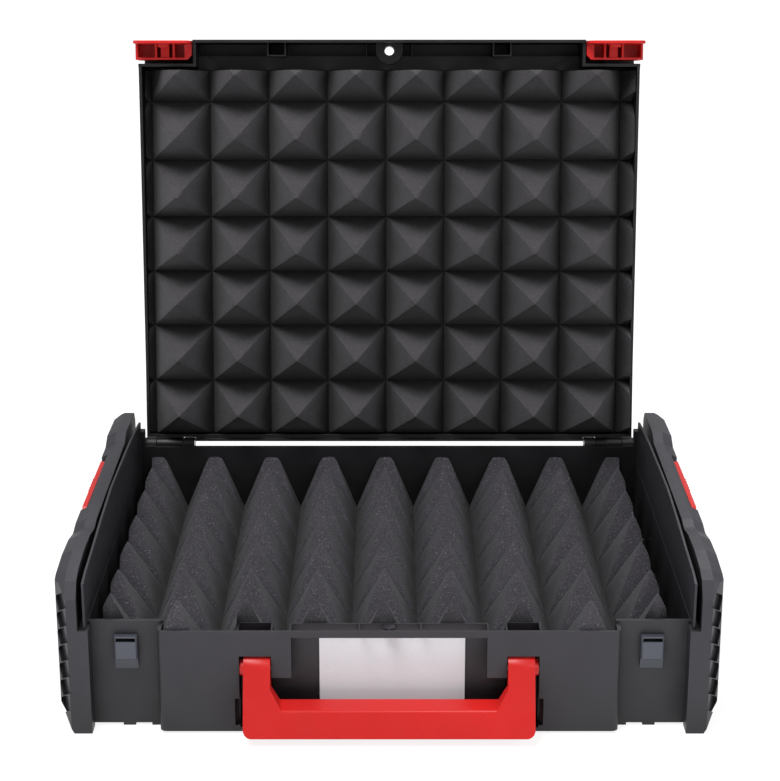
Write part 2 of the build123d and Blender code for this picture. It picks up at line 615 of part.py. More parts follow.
def make_foam_base():
    """Tall pad in the tub with rows of pyramids, cut round the recess and slot casings."""
    half = LID_HALF_WIDTH - LID_WALL - BASE_FOAM_CLEAR
    front = FRONT_Y + SKIN + FOAM_CLEAR
    floor = FLOOR_Z + FLOOR_THICKNESS + FOAM_CLEAR
    pad = pyramid_pad((-half, half), (front, REAR_WALL_Y - WALL - FOAM_CLEAR), (BASE_FOAM_SHIFT_X, BASE_FIRST_ROW_Y),
                      (BASE_PITCH_X, BASE_PITCH_Y), BASE_VALLEY_Z, BASE_PEAK_Z, floor)
    cut_y = front - SPARE
    corner_x = BAY_INNER_X - WALL - FOAM_CLEAR
    pad -= both_sides(block(corner_x, half + SPARE, cut_y, BAY_WALL_Y + WALL + FOAM_CLEAR, 0, CASE_HEIGHT))
    bay_y = LID_BAY_Y + LID_WALL + FOAM_CLEAR
    pad -= both_sides(block(corner_x, half + SPARE, cut_y, bay_y, RIM_Z - SPARE, CASE_HEIGHT))
    pad -= block(-half - SPARE, half + SPARE, cut_y, LID_FRONT_Y + LID_WALL + FOAM_CLEAR, RIM_Z - SPARE, CASE_HEIGHT)
    recess_x = RECESS_HALF_WIDTH + CASING + FOAM_CLEAR
    recess_y = FRONT_Y + RECESS_DEPTH + CASING + FOAM_CLEAR
    pad -= block(-recess_x, recess_x, cut_y, recess_y, 0, CASE_HEIGHT)
    casing_x = SLOT_INNER_X - CASING - FOAM_CLEAR
    slot_y = FRONT_Y + SLOT_DEPTH + CASING + FOAM_CLEAR
    pad -= both_sides(block(recess_x, casing_x, cut_y, recess_y, 0, RECESS_STEP_Z + CASING + FOAM_CLEAR))
    pad -= both_sides(block(casing_x, SLOT_OUTER_X + CASING + FOAM_CLEAR, cut_y, slot_y, 0, CASE_HEIGHT))
    well_x = WELL_OUTER_X + CASING + FOAM_CLEAR
    well_y = FRONT_Y + WELL_DEPTH + CASING + FOAM_CLEAR
    return pad - both_sides(block(SLOT_OUTER_X, well_x, cut_y, well_y, 0, GRIP_TOP_Z + CASING + FOAM_CLEAR))


def make_handle_pins():
    """The two pins that the handle turns on."""
    pin = bar_x(SLOT_INNER_X - CASING, SLOT_OUTER_X + CASING, HANDLE_Y, HANDLE_Z, HANDLE_PIN_RADIUS)
    return both_sides(pin)


def make_handle():
    """Red drop handle: two arms and a deep grip that share one leaning front face."""
    reach = HANDLE_Y - GRIP_FRONT_Y
    drop = HANDLE_Z - GRIP_BOTTOM_Z
    lean = math.atan2(reach, drop) - math.asin(ARM_RADIUS / math.hypot(reach, drop))
    meet = (HANDLE_Y - ARM_RADIUS * math.cos(lean), HANDLE_Z + ARM_RADIUS * math.sin(lean))
    edge_y = GRIP_FRONT_Y + (GRIP_EDGE_Z - GRIP_BOTTOM_Z) * math.tan(lean)
    foot = [(GRIP_FRONT_Y, GRIP_BOTTOM_Z), (HANDLE_Y + ARM_BACK, GRIP_BOTTOM_Z), (HANDLE_Y + ARM_BACK, HANDLE_Z)]
    arm = side_panel([meet] + foot + [(HANDLE_Y, HANDLE_Z)], ARM_INNER_X, ARM_OUTER_X)
    arm += bar_x(ARM_INNER_X, ARM_OUTER_X, HANDLE_Y, HANDLE_Z, ARM_RADIUS)
    arm += bar_x(ARM_OUTER_X, ARM_OUTER_X + BOSS_REACH, HANDLE_Y, HANDLE_Z, BOSS_RADIUS)
    section = [(GRIP_FRONT_Y, GRIP_BOTTOM_Z), (GRIP_BACK_Y, GRIP_BOTTOM_Z), (GRIP_BACK_Y, GRIP_TOP_Z),
               (edge_y, GRIP_EDGE_Z)]
    grip = side_panel(section, -ARM_OUTER_X, ARM_OUTER_X)
    grip = fillet(grip.edges().filter_by(Axis.X).sort_by(Axis.Z)[2:3], GRIP_ROUND)
    web = [(ARM_INNER_X, GRIP_EDGE_Z - SPARE), (ARM_INNER_X - GUSSET_WIDTH, GRIP_EDGE_Z - SPARE),
           (ARM_INNER_X - GUSSET_WIDTH, GRIP_EDGE_Z), (ARM_INNER_X, GRIP_TOP_Z + GUSSET_HEIGHT)]
    gusset = Pos(0, GRIP_BACK_Y, 0) * extrude(Plane.XZ * make_face(Polyline(*web, close=True)), amount=GRIP_REACH)
    gusset -= block(0, ARM_OUTER_X, GRIP_BACK_Y, 0, 0, CASE_HEIGHT)
    face = side_panel([meet, foot[0], foot[1], (foot[1][0], meet[1])], 0, ARM_OUTER_X)
    handle = grip + both_sides(arm) + both_sides(gusset & face)
    frame = block(-ARM_OUTER_X, ARM_OUTER_X, GRIP_FRONT_Y - SPARE, 0, GRIP_BOTTOM_Z, HANDLE_Z)
    frame = fillet(frame.edges().filter_by(Axis.Y).sort_by(Axis.Z)[:2], GRIP_CORNER)
    frame += block(-SLOT_OUTER_X, SLOT_OUTER_X, GRIP_FRONT_Y - SPARE, 0, HANDLE_Z - ARM_RADIUS, HANDLE_Z + ARM_RADIUS)
    hole = bar_x(ARM_INNER_X - SPARE, SLOT_OUTER_X, HANDLE_Y, HANDLE_Z, HANDLE_PIN_RADIUS + RUNNING_GAP)
    return (handle & frame) - both_sides(hole)


def make_hinge_pin():
    """Pin of the right hinge."""
    return bar_x(HINGE_XS[0], HINGE_XS[3], HINGE_Y, HINGE_Z, HINGE_PIN_RADIUS)


def make_lid_shell():
    """Lid, drawn closed: plate, skirts, double front with ribs, latch lugs and hinge knuckles."""
    bay_x = BAY_INNER_X - LID_GAP
    lid = block(-LID_HALF_WIDTH, LID_HALF_WIDTH, FRONT_Y, LID_REAR_Y, LID_UNDERSIDE, CASE_HEIGHT)
    lid -= block(-LID_HALF_WIDTH + LID_PANEL_INSET, LID_HALF_WIDTH - LID_PANEL_INSET, LEDGE_REAR_Y,
                 LID_REAR_Y - LID_PANEL_INSET, CASE_HEIGHT - LID_PANEL_DEPTH, CASE_HEIGHT + SPARE)
    bead_x = LID_HALF_WIDTH - LID_BEAD_INSET
    for y in spread(LID_BEAD_COUNT, LID_BEAD_PITCH):
        lid += block(-bead_x, bead_x, y - WALL, y + WALL, LID_UNDERSIDE, CASE_HEIGHT)
    skirt = [(LID_REAR_Y, LID_UNDERSIDE), *LID_SIDE_RIM, (LID_BAY_Y, BAY_RIM_Z + LID_GAP), (LID_BAY_Y, LID_UNDERSIDE)]
    lid += both_sides(side_panel(skirt, LID_HALF_WIDTH - LID_WALL, LID_HALF_WIDTH))
    lid += block(-LID_HALF_WIDTH, LID_HALF_WIDTH, LID_REAR_Y - LID_WALL, LID_REAR_Y, LID_REAR_RIM_Z, LID_UNDERSIDE)
    lid += block(-bay_x, bay_x, LID_FRONT_Y, LID_FRONT_Y + LID_WALL, RIM_Z + LID_GAP, LID_UNDERSIDE)
    bay_z = BAY_RIM_Z + LID_GAP
    bay_back = LID_BAY_Y + LID_WALL
    bay_wall = block(bay_x - LID_WALL, LID_HALF_WIDTH, LID_BAY_Y, bay_back, bay_z, LID_UNDERSIDE)
    bay_side = block(bay_x - LID_WALL, bay_x, LID_FRONT_Y, bay_back, bay_z, LID_UNDERSIDE)
    lid += both_sides(bay_wall)
    lid += both_sides(bay_side)
    lid += block(-bay_x, bay_x, LEDGE_FRONT_Y, LEDGE_REAR_Y, LEDGE_Z, LID_UNDERSIDE)
    rib = block(LID_RIB_X, LID_RIB_X + FRAME_WALL, LID_FRONT_Y, LEDGE_FRONT_Y, LEDGE_Z - LID_WALL, LID_UNDERSIDE)
    lid += both_sides(rib)
    ledge_middle = (LEDGE_FRONT_Y + LEDGE_REAR_Y) / 2
    brace = Pos(BRACE_X, ledge_middle, LEDGE_Z) * Rot(0, 0, BRACE_TURN) * Box(RIB, BRACE_LENGTH, RIB)
    brace &= block(0, bay_x, LEDGE_FRONT_Y, LEDGE_REAR_Y, 0, CASE_HEIGHT)
    lid += both_sides(brace)
    for x in (-FRAME_X, FRAME_X):
        inside_x = FRAME_HALF - FRAME_WALL
        frame = block(x - FRAME_HALF, x + FRAME_HALF, LID_FRONT_Y, LEDGE_FRONT_Y + FRAME_WALL, FRAME_BOTTOM_Z, LID_UNDERSIDE)
        frame -= block(x - inside_x, x + inside_x, LID_FRONT_Y + LID_WALL, LEDGE_FRONT_Y, 0, LID_UNDERSIDE)
        lid += frame
    tab = post_z(0, TAB_Y, TAB_BOTTOM_Z, LID_UNDERSIDE, TAB_RADIUS)
    tab += block(-TAB_RADIUS, TAB_RADIUS, LID_FRONT_Y, TAB_Y, TAB_BOTTOM_Z, LID_UNDERSIDE)
    tab &= block(-TAB_RADIUS, TAB_RADIUS, LID_FRONT_Y, 0, 0, CASE_HEIGHT)
    lid += tab
    lid -= post_z(0, TAB_Y, 0, 2 * CASE_HEIGHT, TAB_HOLE_RADIUS)
    lug = block(LUG_XS[0], LUG_XS[1], LATCH_Y + LUG_CLEAR, LID_BAY_Y, LATCH_Z - LUG_RADIUS, LID_UNDERSIDE)
    lug += bar_x(*LUG_XS, LATCH_Y, LATCH_Z, LUG_RADIUS)
    lid += both_sides(lug)
    lid -= both_sides(bar_x(LATCH_INNER_X, LATCH_OUTER_X, LATCH_Y, LATCH_Z, LATCH_PIN_RADIUS + RUNNING_GAP))
    lip_y = REAR_WALL_Y + LIP_GAP
    lip_z = REAR_WALL_TOP - LIP_DROP
    lid += block(-LIP_HALF_WIDTH, LIP_HALF_WIDTH, lip_y, lip_y + LIP_THICKNESS, lip_z, LID_UNDERSIDE)
    lid += block(-LIP_HALF_WIDTH, LIP_HALF_WIDTH, LID_REAR_Y - LID_WALL, lip_y, LID_REAR_RIM_Z,
                 LID_REAR_RIM_Z + LID_WALL)
    x0 = HINGE_XS[1] + KNUCKLE_GAP
    x1 = HINGE_XS[2] - KNUCKLE_GAP
    knuckle = bar_x(x0, x1, HINGE_Y, HINGE_Z, KNUCKLE_RADIUS)
    knuckle += block(x0, x1, LID_REAR_Y - LID_WALL, HINGE_Y, LID_REAR_RIM_Z, HINGE_Z + KNUCKLE_RADIUS)
    lid += both_sides(knuckle)
    lid -= both_sides(bar_x(x0, x1, HINGE_Y, HINGE_Z, HINGE_PIN_RADIUS + RUNNING_GAP))
    return lid


def make_foam_lid():
    """Pad on the lid's inside, drawn closed, with pyramids that point down."""
    half = LID_HALF_WIDTH - LID_WALL - LID_FOAM_SIDE_GAP
    rear = LID_REAR_Y - LID_WALL - FOAM_CLEAR
    front = LEDGE_REAR_Y + FOAM_CLEAR
    first = (LID_FOAM_SHIFT_X + LID_PITCH_X / 2, front)
    pad = pyramid_pad((-half, half), (front, rear), first, (LID_PITCH_X, LID_PITCH_Y), LID_FOAM_SLAB,
                      LID_FOAM_SLAB + LID_PYRAMID, 0)
    return Pos(0, 0, LID_UNDERSIDE) * mirror(pad, about=Plane.XY)


def make_latch():
    """Right latch, drawn closed: split barrel, face plate, box with pockets, finger and tongue."""
    plate_back = LATCH_FACE_Y + LATCH_PLATE
    lug_gap = (LUG_XS[0] - KNUCKLE_GAP, LUG_XS[1] + KNUCKLE_GAP)
    barrel = bar_x(LATCH_INNER_X, lug_gap[0], LATCH_Y, LATCH_Z, LATCH_BARREL)
    barrel += bar_x(lug_gap[1], LATCH_OUTER_X, LATCH_Y, LATCH_Z, LATCH_BARREL)
    plate = block(LATCH_INNER_X, LATCH_OUTER_X, LATCH_FACE_Y, plate_back, LATCH_BOTTOM_Z, LATCH_Z)
    plate = chamfer(plate.edges().filter_by(Axis.Y).sort_by(Axis.Z)[:2], LATCH_CORNER)
    box = block(LATCH_INNER_X, LATCH_OUTER_X, LATCH_FACE_Y, BOX_BACK_Y, BOX_BOTTOM_Z, BOX_TOP_Z)
    inner_edge = box.edges().filter_by(Axis.Z).sort_by(Axis.Y)[2:].sort_by(Axis.X)[:1]
    box = chamfer(inner_edge, BOX_CHAMFER)
    slot_x = (CATCH_MIDDLE_X - MIDDLE_SLOT / 2, CATCH_MIDDLE_X + MIDDLE_SLOT / 2)
    pocket_xs = ((LATCH_INNER_X + BOX_INNER_WALL, slot_x[0] - MIDDLE_SLOT_WALL), slot_x,
                 (slot_x[1] + MIDDLE_SLOT_WALL, LATCH_OUTER_X - BOX_WALL))
    for x0, x1 in pocket_xs:
        box -= block(x0, x1, plate_back, BOX_BACK_Y - BOX_WALL, BOX_BOTTOM_Z - SPARE, BOX_BOTTOM_Z + POCKET_DEPTH)
    finger_x = CATCH_MIDDLE_X - FINGER_WIDTH / 2
    box += block(finger_x, finger_x + FINGER_WIDTH, LATCH_FACE_Y, BOX_BACK_Y, BOX_BOTTOM_Z + RIB, BOX_TOP_Z)
    latch = barrel + plate + box
    latch += block(CATCH_MIDDLE_X - TONGUE_WIDTH / 2, CATCH_MIDDLE_X + TONGUE_WIDTH / 2, LATCH_FACE_Y, TONGUE_TIP_Y,
                   TONGUE_Z - TONGUE_THICKNESS / 2, TONGUE_Z + TONGUE_THICKNESS / 2)
    latch -= block(*lug_gap, plate_back, BAY_WALL_Y, BOX_TOP_Z, CASE_HEIGHT)
    latch -= bar_x(*lug_gap, LATCH_Y, LATCH_Z, LUG_RADIUS + KNUCKLE_GAP)
    latch -= bar_x(LATCH_INNER_X - SPARE, LATCH_OUTER_X + SPARE, LATCH_Y, LATCH_Z, LATCH_PIN_RADIUS + RUNNING_GAP)
    return latch


def make_latch_pin():
    """Pin of the right latch."""
    return bar_x(LATCH_INNER_X, LATCH_OUTER_X, LATCH_Y, LATCH_Z, LATCH_PIN_RADIUS)


def turned(y, z):
    """Where a point of the closed lid lies when the lid is open."""
    angle = math.radians(LID_OPEN)
    dy = y - HINGE_Y
    dz = z - HINGE_Z
    y = HINGE_Y + dy * math.cos(angle) + dz * math.sin(angle)
    z = HINGE_Z - dy * math.sin(angle) + dz * math.cos(angle)
    return (y, z)


def main():
    os.makedirs("parts", exist_ok=True)
    fender = make_fender()
    lock = make_side_lock()
    catch = make_catch()
    hinge_pin = make_hinge_pin()
    latch = opened(make_latch())
    latch_pin = opened(make_latch_pin())
    nodes = {
        "base_shell": make_base_shell(),
        "fender_right": fender,
        "fender_left": mirrored(fender),
        "fender_screws": make_fender_screws(),
        "catch_right": catch,
        "catch_left": mirrored(catch),
        "label_plate": make_label_plate(),
        "foam_base": make_foam_base(),
        "handle_pins": make_handle_pins(),
        "hinge_pin_right": hinge_pin,
        "hinge_pin_left": mirrored(hinge_pin),
        "handle": make_handle(),
        "side_lock_right": lock,
        "side_lock_left": mirrored(lock),
        "lid_shell": opened(make_lid_shell()),
        "foam_lid": opened(make_foam_lid()),
        "latch_right": latch,
        "latch_left": mirrored(latch),
        "latch_pin_right": latch_pin,
        "latch_pin_left": mirrored(latch_pin),
    }
    for name, part in nodes.items():
        export_step(part, f"parts/{name}.step")
    print("latch axis", turned(LATCH_Y, LATCH_Z))
    print("hinge axis", (HINGE_Y, HINGE_Z), "handle axis", (HANDLE_Y, HANDLE_Z))


main()
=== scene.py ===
import math

import bmesh
import bpy
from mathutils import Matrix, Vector, noise


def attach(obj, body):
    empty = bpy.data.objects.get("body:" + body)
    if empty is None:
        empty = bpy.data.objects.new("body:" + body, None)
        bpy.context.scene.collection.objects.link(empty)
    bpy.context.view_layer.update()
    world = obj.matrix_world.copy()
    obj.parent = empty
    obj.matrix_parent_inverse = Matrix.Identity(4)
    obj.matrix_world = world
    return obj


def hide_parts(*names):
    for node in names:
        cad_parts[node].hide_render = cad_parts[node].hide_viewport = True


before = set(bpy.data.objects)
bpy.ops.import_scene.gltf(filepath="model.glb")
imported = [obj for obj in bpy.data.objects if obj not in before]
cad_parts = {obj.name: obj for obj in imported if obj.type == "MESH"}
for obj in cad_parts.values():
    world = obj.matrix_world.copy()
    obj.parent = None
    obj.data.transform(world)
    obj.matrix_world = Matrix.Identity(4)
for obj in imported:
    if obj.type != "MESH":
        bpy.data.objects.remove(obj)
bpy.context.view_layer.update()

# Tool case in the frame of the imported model: X to the right, Y to the rear, Z up.
# The sizes of the case that are named here are in millimetres, and MM turns them into metres.
# Places of the camera and the lamps, and sizes of the lamps and the floor, are in metres.
MM = 0.001

# Camera, from the photograph's perspective: its place, degrees below level and how far it sees
CAMERA_PLACE = (0.0006, -1.4946, 0.6795)
CAMERA_DOWN = 17.6
CAMERA_FAR = 50.0

# Focal length and picture width behind the lens, both in millimetres of the camera itself
CAMERA_LENS = 92.38
CAMERA_SENSOR = 36.0

# Hinge line of the lid, and the degrees it is turned open after it is drawn closed
HINGE_Y = 171.0
HINGE_Z = 102.5
LID_OPEN = 100.0

# Foam grid: steps from a ridge to a valley, and the room that lines keep from an edge or a cut
CELL_STEPS = 10
EDGE_ROOM = 0.8
CUT_ROOM = 0.7

# Foam surface: how soft its ridges are, how tight its grooves, and the degrees of a sharp crease
RIDGE_SOFTNESS = 0.0012
GROOVE_TIGHTNESS = 18
FOAM_CREASE = 50.0

# Base pad: places of its ridges, valleys, edges and cuts. A row is (place, 0 on a ridge or 1 in a valley)
BASE_FIRST_X = -3.6
BASE_PITCH_X = 49.7
BASE_ROWS = ((-192.0, 1), (-164.0, 0), (-136.0, 1), (-108.0, 0), (-80.0, 1), (-52.0, 0), (-24.0, 1),
             (4.0, 0), (32.0, 1), (60.0, 0), (88.0, 1), (116.0, 0), (142.0, 1), (169.0, 0))
BASE_REAR_RISE = 6.0
BASE_REAR_START = 135.0
BASE_REAR_RUN = 25.0
BASE_EDGE_X = (-177.5, 170.3)
BASE_EDGE_FRONT = ((-176.0, 1), (-152.0, 0), (-130.0, 1))
BASE_LOW_X = -208.0
BASE_HIGH_X = 201.5
BASE_FRONT_Y = -174.8
BASE_REAR_Y = 162.5
BASE_VALLEY_Z = 47.0
BASE_PEAK_Z = 102.0
BASE_FLOOR_Z = 5.5
BASE_STEP_Z = 46.6
BASE_CUTS_X = (72.2, 83.4, 109.9, 163.3)
BASE_CUTS_Y = (-161.3, -163.3, -155.0)

# Lid pad, with the lid closed
LID_FIRST_X = 22.45
LID_PITCH_X = 50.7
LID_HALF_X = 210.1
LID_FRONT_Y = -152.5
LID_REAR_Y = 162.7
LID_TOP_Z = 129.0
LID_SLAB = 14.0
LID_PYRAMID = 57.0
LID_ROWS = ((-170.0, 1), (-148.2, 0), (-126.5, 1), (-94.8, 0), (-76.2, 1), (-45.4, 0), (-27.2, 1),
            (1.8, 0), (20.3, 1), (44.6, 0), (67.8, 1), (93.4, 0), (116.6, 1), (141.2, 0), (164.5, 1))

# How plump a pyramid's faces are, how round its tip and how deep its groove
BASE_PYRAMID_FORM = (0.0, 0.02, 0.0)
LID_PYRAMID_FORM = (0.03, 0.03, 0.05)

# Slow swells of the foam: (height, size, seed), and how far they are lowered
BASE_SWELLS = ((0.5, 21.0, 3.0), (0.25, 6.0, 8.0))
LID_SWELLS = ((0.6, 24.0, 5.0), (0.3, 7.0, 2.0))
SWELL_DROP = 0.6

# Inside of the tub, which gets little light: half width, middle, half depth, and its factor
TUB_INSIDE_X = 217.0
TUB_MIDDLE_Y = 2.0
TUB_INSIDE_Y = 164.5
TUB_DIMNESS = 0.38

# Eased edges of the red parts: width, segments, and the degrees from which an edge is eased
EASE_WIDTH = 1.0
EASE_SEGMENTS = 2
EASE_ANGLE = 30.0

# Points this near are joined first, and faces within these degrees are taken as one
WELD_DISTANCE = 0.01
FLAT_ANGLE = 1.0

# Rays of each look into crevices for the painted shade, or round an edge
SHADER_SAMPLES = 4

# Colours, as written on a screen
SHELL_HEX = "343238"
FENDER_HEX = "38383e"
LID_HEX = "141417"
CATCH_HEX = "575b65"
RED_HEX = "d41f1c"
LABEL_HEX = "f1f2f7"
STEEL_HEX = "b9bbbe"
FOAM_HEX = "464449"
LID_FOAM_HEX = "484649"

# Lamps: name, place, what they point at, size and power
LAMPS = (("key", (-0.6, -0.75, 2.1), (0, 0, 0.2), (1.0, 1.0), 36.0),
         ("fill", (1.4, -1.2, 1.1), (0, 0, 0.2), (1.2, 1.2), 11.0),
         ("rear", (0.3, 1.2, 1.6), (0, 0, 0.3), (1.6, 0.8), 14.0))
WORLD_FILL = 0.32

# Floor: half width, then the distances between which its own light grows, and that light at each
FLOOR_REACH = 6.0
GLOW_NEAR = 0.7
GLOW_FAR = 2.0
GLOW_NEAR_LIGHT = 0.84
GLOW_FAR_LIGHT = 1.0


def linear(hex_colour):
    """Linear RGBA of a colour written as six hex digits."""
    out = []
    for at in (0, 2, 4):
        c = int(hex_colour[at:at + 2], 16) / 255
        out.append(c / 12.92 if c <= 0.04045 else ((c + 0.055) / 1.055) ** 2.4)
    return (*out, 1.0)


class Shader:
    """A small helper that adds nodes to one material and joins them."""

    def __init__(self, name):
        self.material = bpy.data.materials.new(name)
        self.material.use_nodes = True
        self.tree = self.material.node_tree
        self.tree.nodes.clear()
        self.output = self.add("ShaderNodeOutputMaterial")

    def add(self, kind, inputs=None, **settings):
        node = self.tree.nodes.new(kind)
        for key, value in settings.items():
            setattr(node, key, value)
        for key, value in (inputs or {}).items():
            self.put(node, key, value)
        return node

    def put(self, node, key, value):
        if isinstance(value, bpy.types.NodeSocket):
            self.tree.links.new(value, node.inputs[key])
        else:
            socket = node.inputs[key]
            if socket.type == "VECTOR" and len(value) > 3:
                value = value[:3]
            socket.default_value = value

    def noise(self, place, scale, detail=2.0, roughness=0.5):
        node = self.add("ShaderNodeTexNoise", {"Vector": place, "Scale": scale, "Detail": detail,
                                               "Roughness": roughness})
        return node.outputs["Fac"]

    def spread(self, value, low, high, to_low, to_high):
        node = self.add("ShaderNodeMapRange", {"Value": value, "From Min": low, "From Max": high,
                                               "To Min": to_low, "To Max": to_high})
        return node.outputs["Result"]

    def maths(self, kind, first, second):
        node = self.add("ShaderNodeMath", {0: first, 1: second}, operation=kind)
        return node.outputs[0]

    def shade(self, colour, factor):
        """The colour made lighter or darker by a factor that varies over the surface."""
        node = self.add("ShaderNodeVectorMath", {0: colour, "Scale": factor}, operation="SCALE")
        return node.outputs["Vector"]

    def blend(self, factor, first, second):
        node = self.add("ShaderNodeMix", data_type="RGBA")
        self.put(node, 0, factor)
        self.put(node, 6, first)
        self.put(node, 7, second)
        return node.outputs[2]


def object_place(shader):
    return shader.add("ShaderNodeTexCoord").outputs["Object"]


def painted_crevice_shade(s, deepest, reach_mm, low, high):
    """Painted shade: a factor that darkens the colour, falling to deepest in crevices and between walls that
    stand close together.
    """
    crevice_shade = s.add("ShaderNodeAmbientOcclusion", {"Distance": reach_mm * MM}, samples=SHADER_SAMPLES)
    return s.spread(crevice_shade.outputs["AO"], low, high, deepest, 1.0)


def inside_tub(s, place):
    """A factor that makes the unlit inside of the tub darker than its outside."""
    at = s.add("ShaderNodeSeparateXYZ", {0: place}).outputs
    across = s.maths("LESS_THAN", s.maths("ABSOLUTE", at["X"], 0.0), TUB_INSIDE_X * MM)
    from_middle = s.maths("ABSOLUTE", s.maths("SUBTRACT", at["Y"], TUB_MIDDLE_Y * MM), 0.0)
    along = s.maths("LESS_THAN", from_middle, TUB_INSIDE_Y * MM)
    return s.spread(s.maths("MULTIPLY", across, along), 0.0, 1.0, 1.0, TUB_DIMNESS)


def plastic(name, hex_colour, rough, grain=1.0, worn=0.25, edge_mm=0.6, depth=0.0, crevice_shade=0.25,
            dim_inside=False):
    """Moulded plastic: fine spark-eroded grain, soft blotches, rubbed and slightly lighter edges, and painted
    shade in crevices.
    """
    s = Shader(name)
    place = object_place(s)
    base = linear(hex_colour)
    blotch = s.spread(s.noise(place, 14.0, 4.0), 0.3, 0.7, 0.93, 1.07)
    speck = s.spread(s.noise(place, 900.0, 2.0), 0.3, 0.7, 0.95, 1.05)
    colour = s.shade(s.shade(base, blotch), speck)
    soft = s.add("ShaderNodeBevel", {"Radius": edge_mm * MM}, samples=SHADER_SAMPLES)
    facing = s.add("ShaderNodeNewGeometry").outputs["Normal"]
    turn = s.add("ShaderNodeVectorMath", {0: soft.outputs["Normal"], 1: facing}, operation="DOT_PRODUCT")
    rubbed = s.spread(turn.outputs["Value"], 0.995, 0.8, 0.0, worn)
    patchy = s.maths("MULTIPLY", rubbed, s.spread(s.noise(place, 120.0, 3.0), 0.35, 0.65, 0.3, 1.0))
    lighter = tuple(min(1.0, c * 1.6 + 0.02) for c in base[:3]) + (1.0,)
    colour = s.blend(patchy, colour, lighter)
    # Painted shade: the colour is darkened in crevices and where walls stand close together.
    colour = s.shade(colour, painted_crevice_shade(s, crevice_shade, 70.0, 0.35, 0.85))
    if dim_inside:
        colour = s.shade(colour, inside_tub(s, place))
    roughness = s.spread(s.noise(place, 60.0, 4.0), 0.3, 0.7, rough - 0.05, rough + 0.05)
    fine = s.noise(place, 1400.0, 2.0)
    wave = s.noise(place, 45.0, 2.0)
    bump = s.add("ShaderNodeBump", {"Strength": 0.35 * grain, "Distance": 0.00012, "Height": fine,
                                    "Normal": soft.outputs["Normal"]})
    bump = s.add("ShaderNodeBump", {"Strength": 0.25, "Distance": 0.0004, "Height": wave,
                                    "Normal": bump.outputs["Normal"]})
    body = s.add("ShaderNodeBsdfPrincipled", {"Base Color": colour, "Roughness": roughness,
                                              "Normal": bump.outputs["Normal"], "IOR": 1.48,
                                              "Subsurface Weight": depth, "Subsurface Scale": 4.0 * MM})
    s.put(s.output, "Surface", body.outputs[0])
    return s.material


def foam(name, hex_colour, spark_gain, pore_mm=1.1):
    """Open-cell foam: charcoal with small pores, lighter cell walls and painted shade in the valleys between
    its pyramids.
    """
    s = Shader(name)
    place = object_place(s)
    base = linear(hex_colour)
    pores = s.add("ShaderNodeTexVoronoi", {"Vector": place, "Scale": 1 / (pore_mm * MM)})
    wall = s.spread(pores.outputs["Distance"], 0.15, 0.75, 0.72, 1.18)
    speck = s.spread(s.noise(place, 2600.0, 1.0), 0.3, 0.7, 0.72, 1.3)
    blotch = s.spread(s.noise(place, 35.0, 3.0), 0.3, 0.7, 0.92, 1.08)
    spark = s.spread(s.noise(place, 800.0, 1.0), 0.6, 0.72, 1.0, spark_gain)
    colour = s.shade(s.shade(s.shade(s.shade(base, wall), speck), blotch), spark)
    # Painted shade: the colour is darkened in the valleys between the pyramids and in other crevices.
    colour = s.shade(colour, painted_crevice_shade(s, 0.3, 28.0, 0.25, 0.8))
    height = s.maths("ADD", pores.outputs["Distance"], s.maths("MULTIPLY", s.noise(place, 2200.0, 2.0), 0.6))
    bump = s.add("ShaderNodeBump", {"Strength": 0.7, "Distance": 0.0005, "Height": height})
    body = s.add("ShaderNodeBsdfPrincipled", {"Base Color": colour, "Roughness": 0.95,
                                              "Normal": bump.outputs["Normal"], "Sheen Weight": 0.08,
                                              "Sheen Roughness": 0.5, "Specular IOR Level": 0.25})
    s.put(s.output, "Surface", body.outputs[0])
    return s.material


def steel(name, hex_colour):
    """Drawn steel wire: fine lines along the pin."""
    s = Shader(name)
    place = object_place(s)
    stretched = s.add("ShaderNodeMapping", {"Vector": place, "Scale": (0.03, 1.0, 1.0)}).outputs["Vector"]
    lines = s.noise(stretched, 3000.0, 3.0)
    colour = s.shade(linear(hex_colour), s.spread(lines, 0.3, 0.7, 0.85, 1.1))
    rough = s.spread(lines, 0.3, 0.7, 0.22, 0.4)
    bump = s.add("ShaderNodeBump", {"Strength": 0.2, "Distance": 0.00005, "Height": lines})
    body = s.add("ShaderNodeBsdfPrincipled", {"Base Color": colour, "Roughness": rough, "Metallic": 1.0,
                                              "Normal": bump.outputs["Normal"]})
    s.put(s.output, "Surface", body.outputs[0])
    return s.material


def paper_plate(name, hex_colour):
    """Bare label plate: matt white film with a faint mottle and edges rounded in its shading."""
    s = Shader(name)
    place = object_place(s)
    base = linear(hex_colour)
    mottle = s.spread(s.noise(place, 260.0, 4.0), 0.3, 0.7, 0.97, 1.0)
    soft = s.add("ShaderNodeBevel", {"Radius": 0.5 * MM}, samples=SHADER_SAMPLES)
    bump = s.add("ShaderNodeBump", {"Strength": 0.1, "Distance": 0.0001, "Height": s.noise(place, 700.0, 2.0),
                                    "Normal": soft.outputs["Normal"]})
    body = s.add("ShaderNodeBsdfPrincipled", {"Base Color": s.shade(base, mottle), "Roughness": 0.5,
                                              "Normal": bump.outputs["Normal"]})
    s.put(s.output, "Surface", body.outputs[0])
    return s.material


def dress(node, material):
    """Gives a CAD node a finished material."""
    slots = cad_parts[node].data.materials
    slots.clear()
    slots.append(material)


def new_piece(name, verts, faces, material, smooth=True):
    mesh = bpy.data.meshes.new(name)
    mesh.from_pydata(verts, [], faces)
    mesh.update()
    mesh.materials.append(material)
    for polygon in mesh.polygons:
        polygon.use_smooth = smooth
    piece = bpy.data.objects.new(name, mesh)
    bpy.context.scene.collection.objects.link(piece)
    return piece


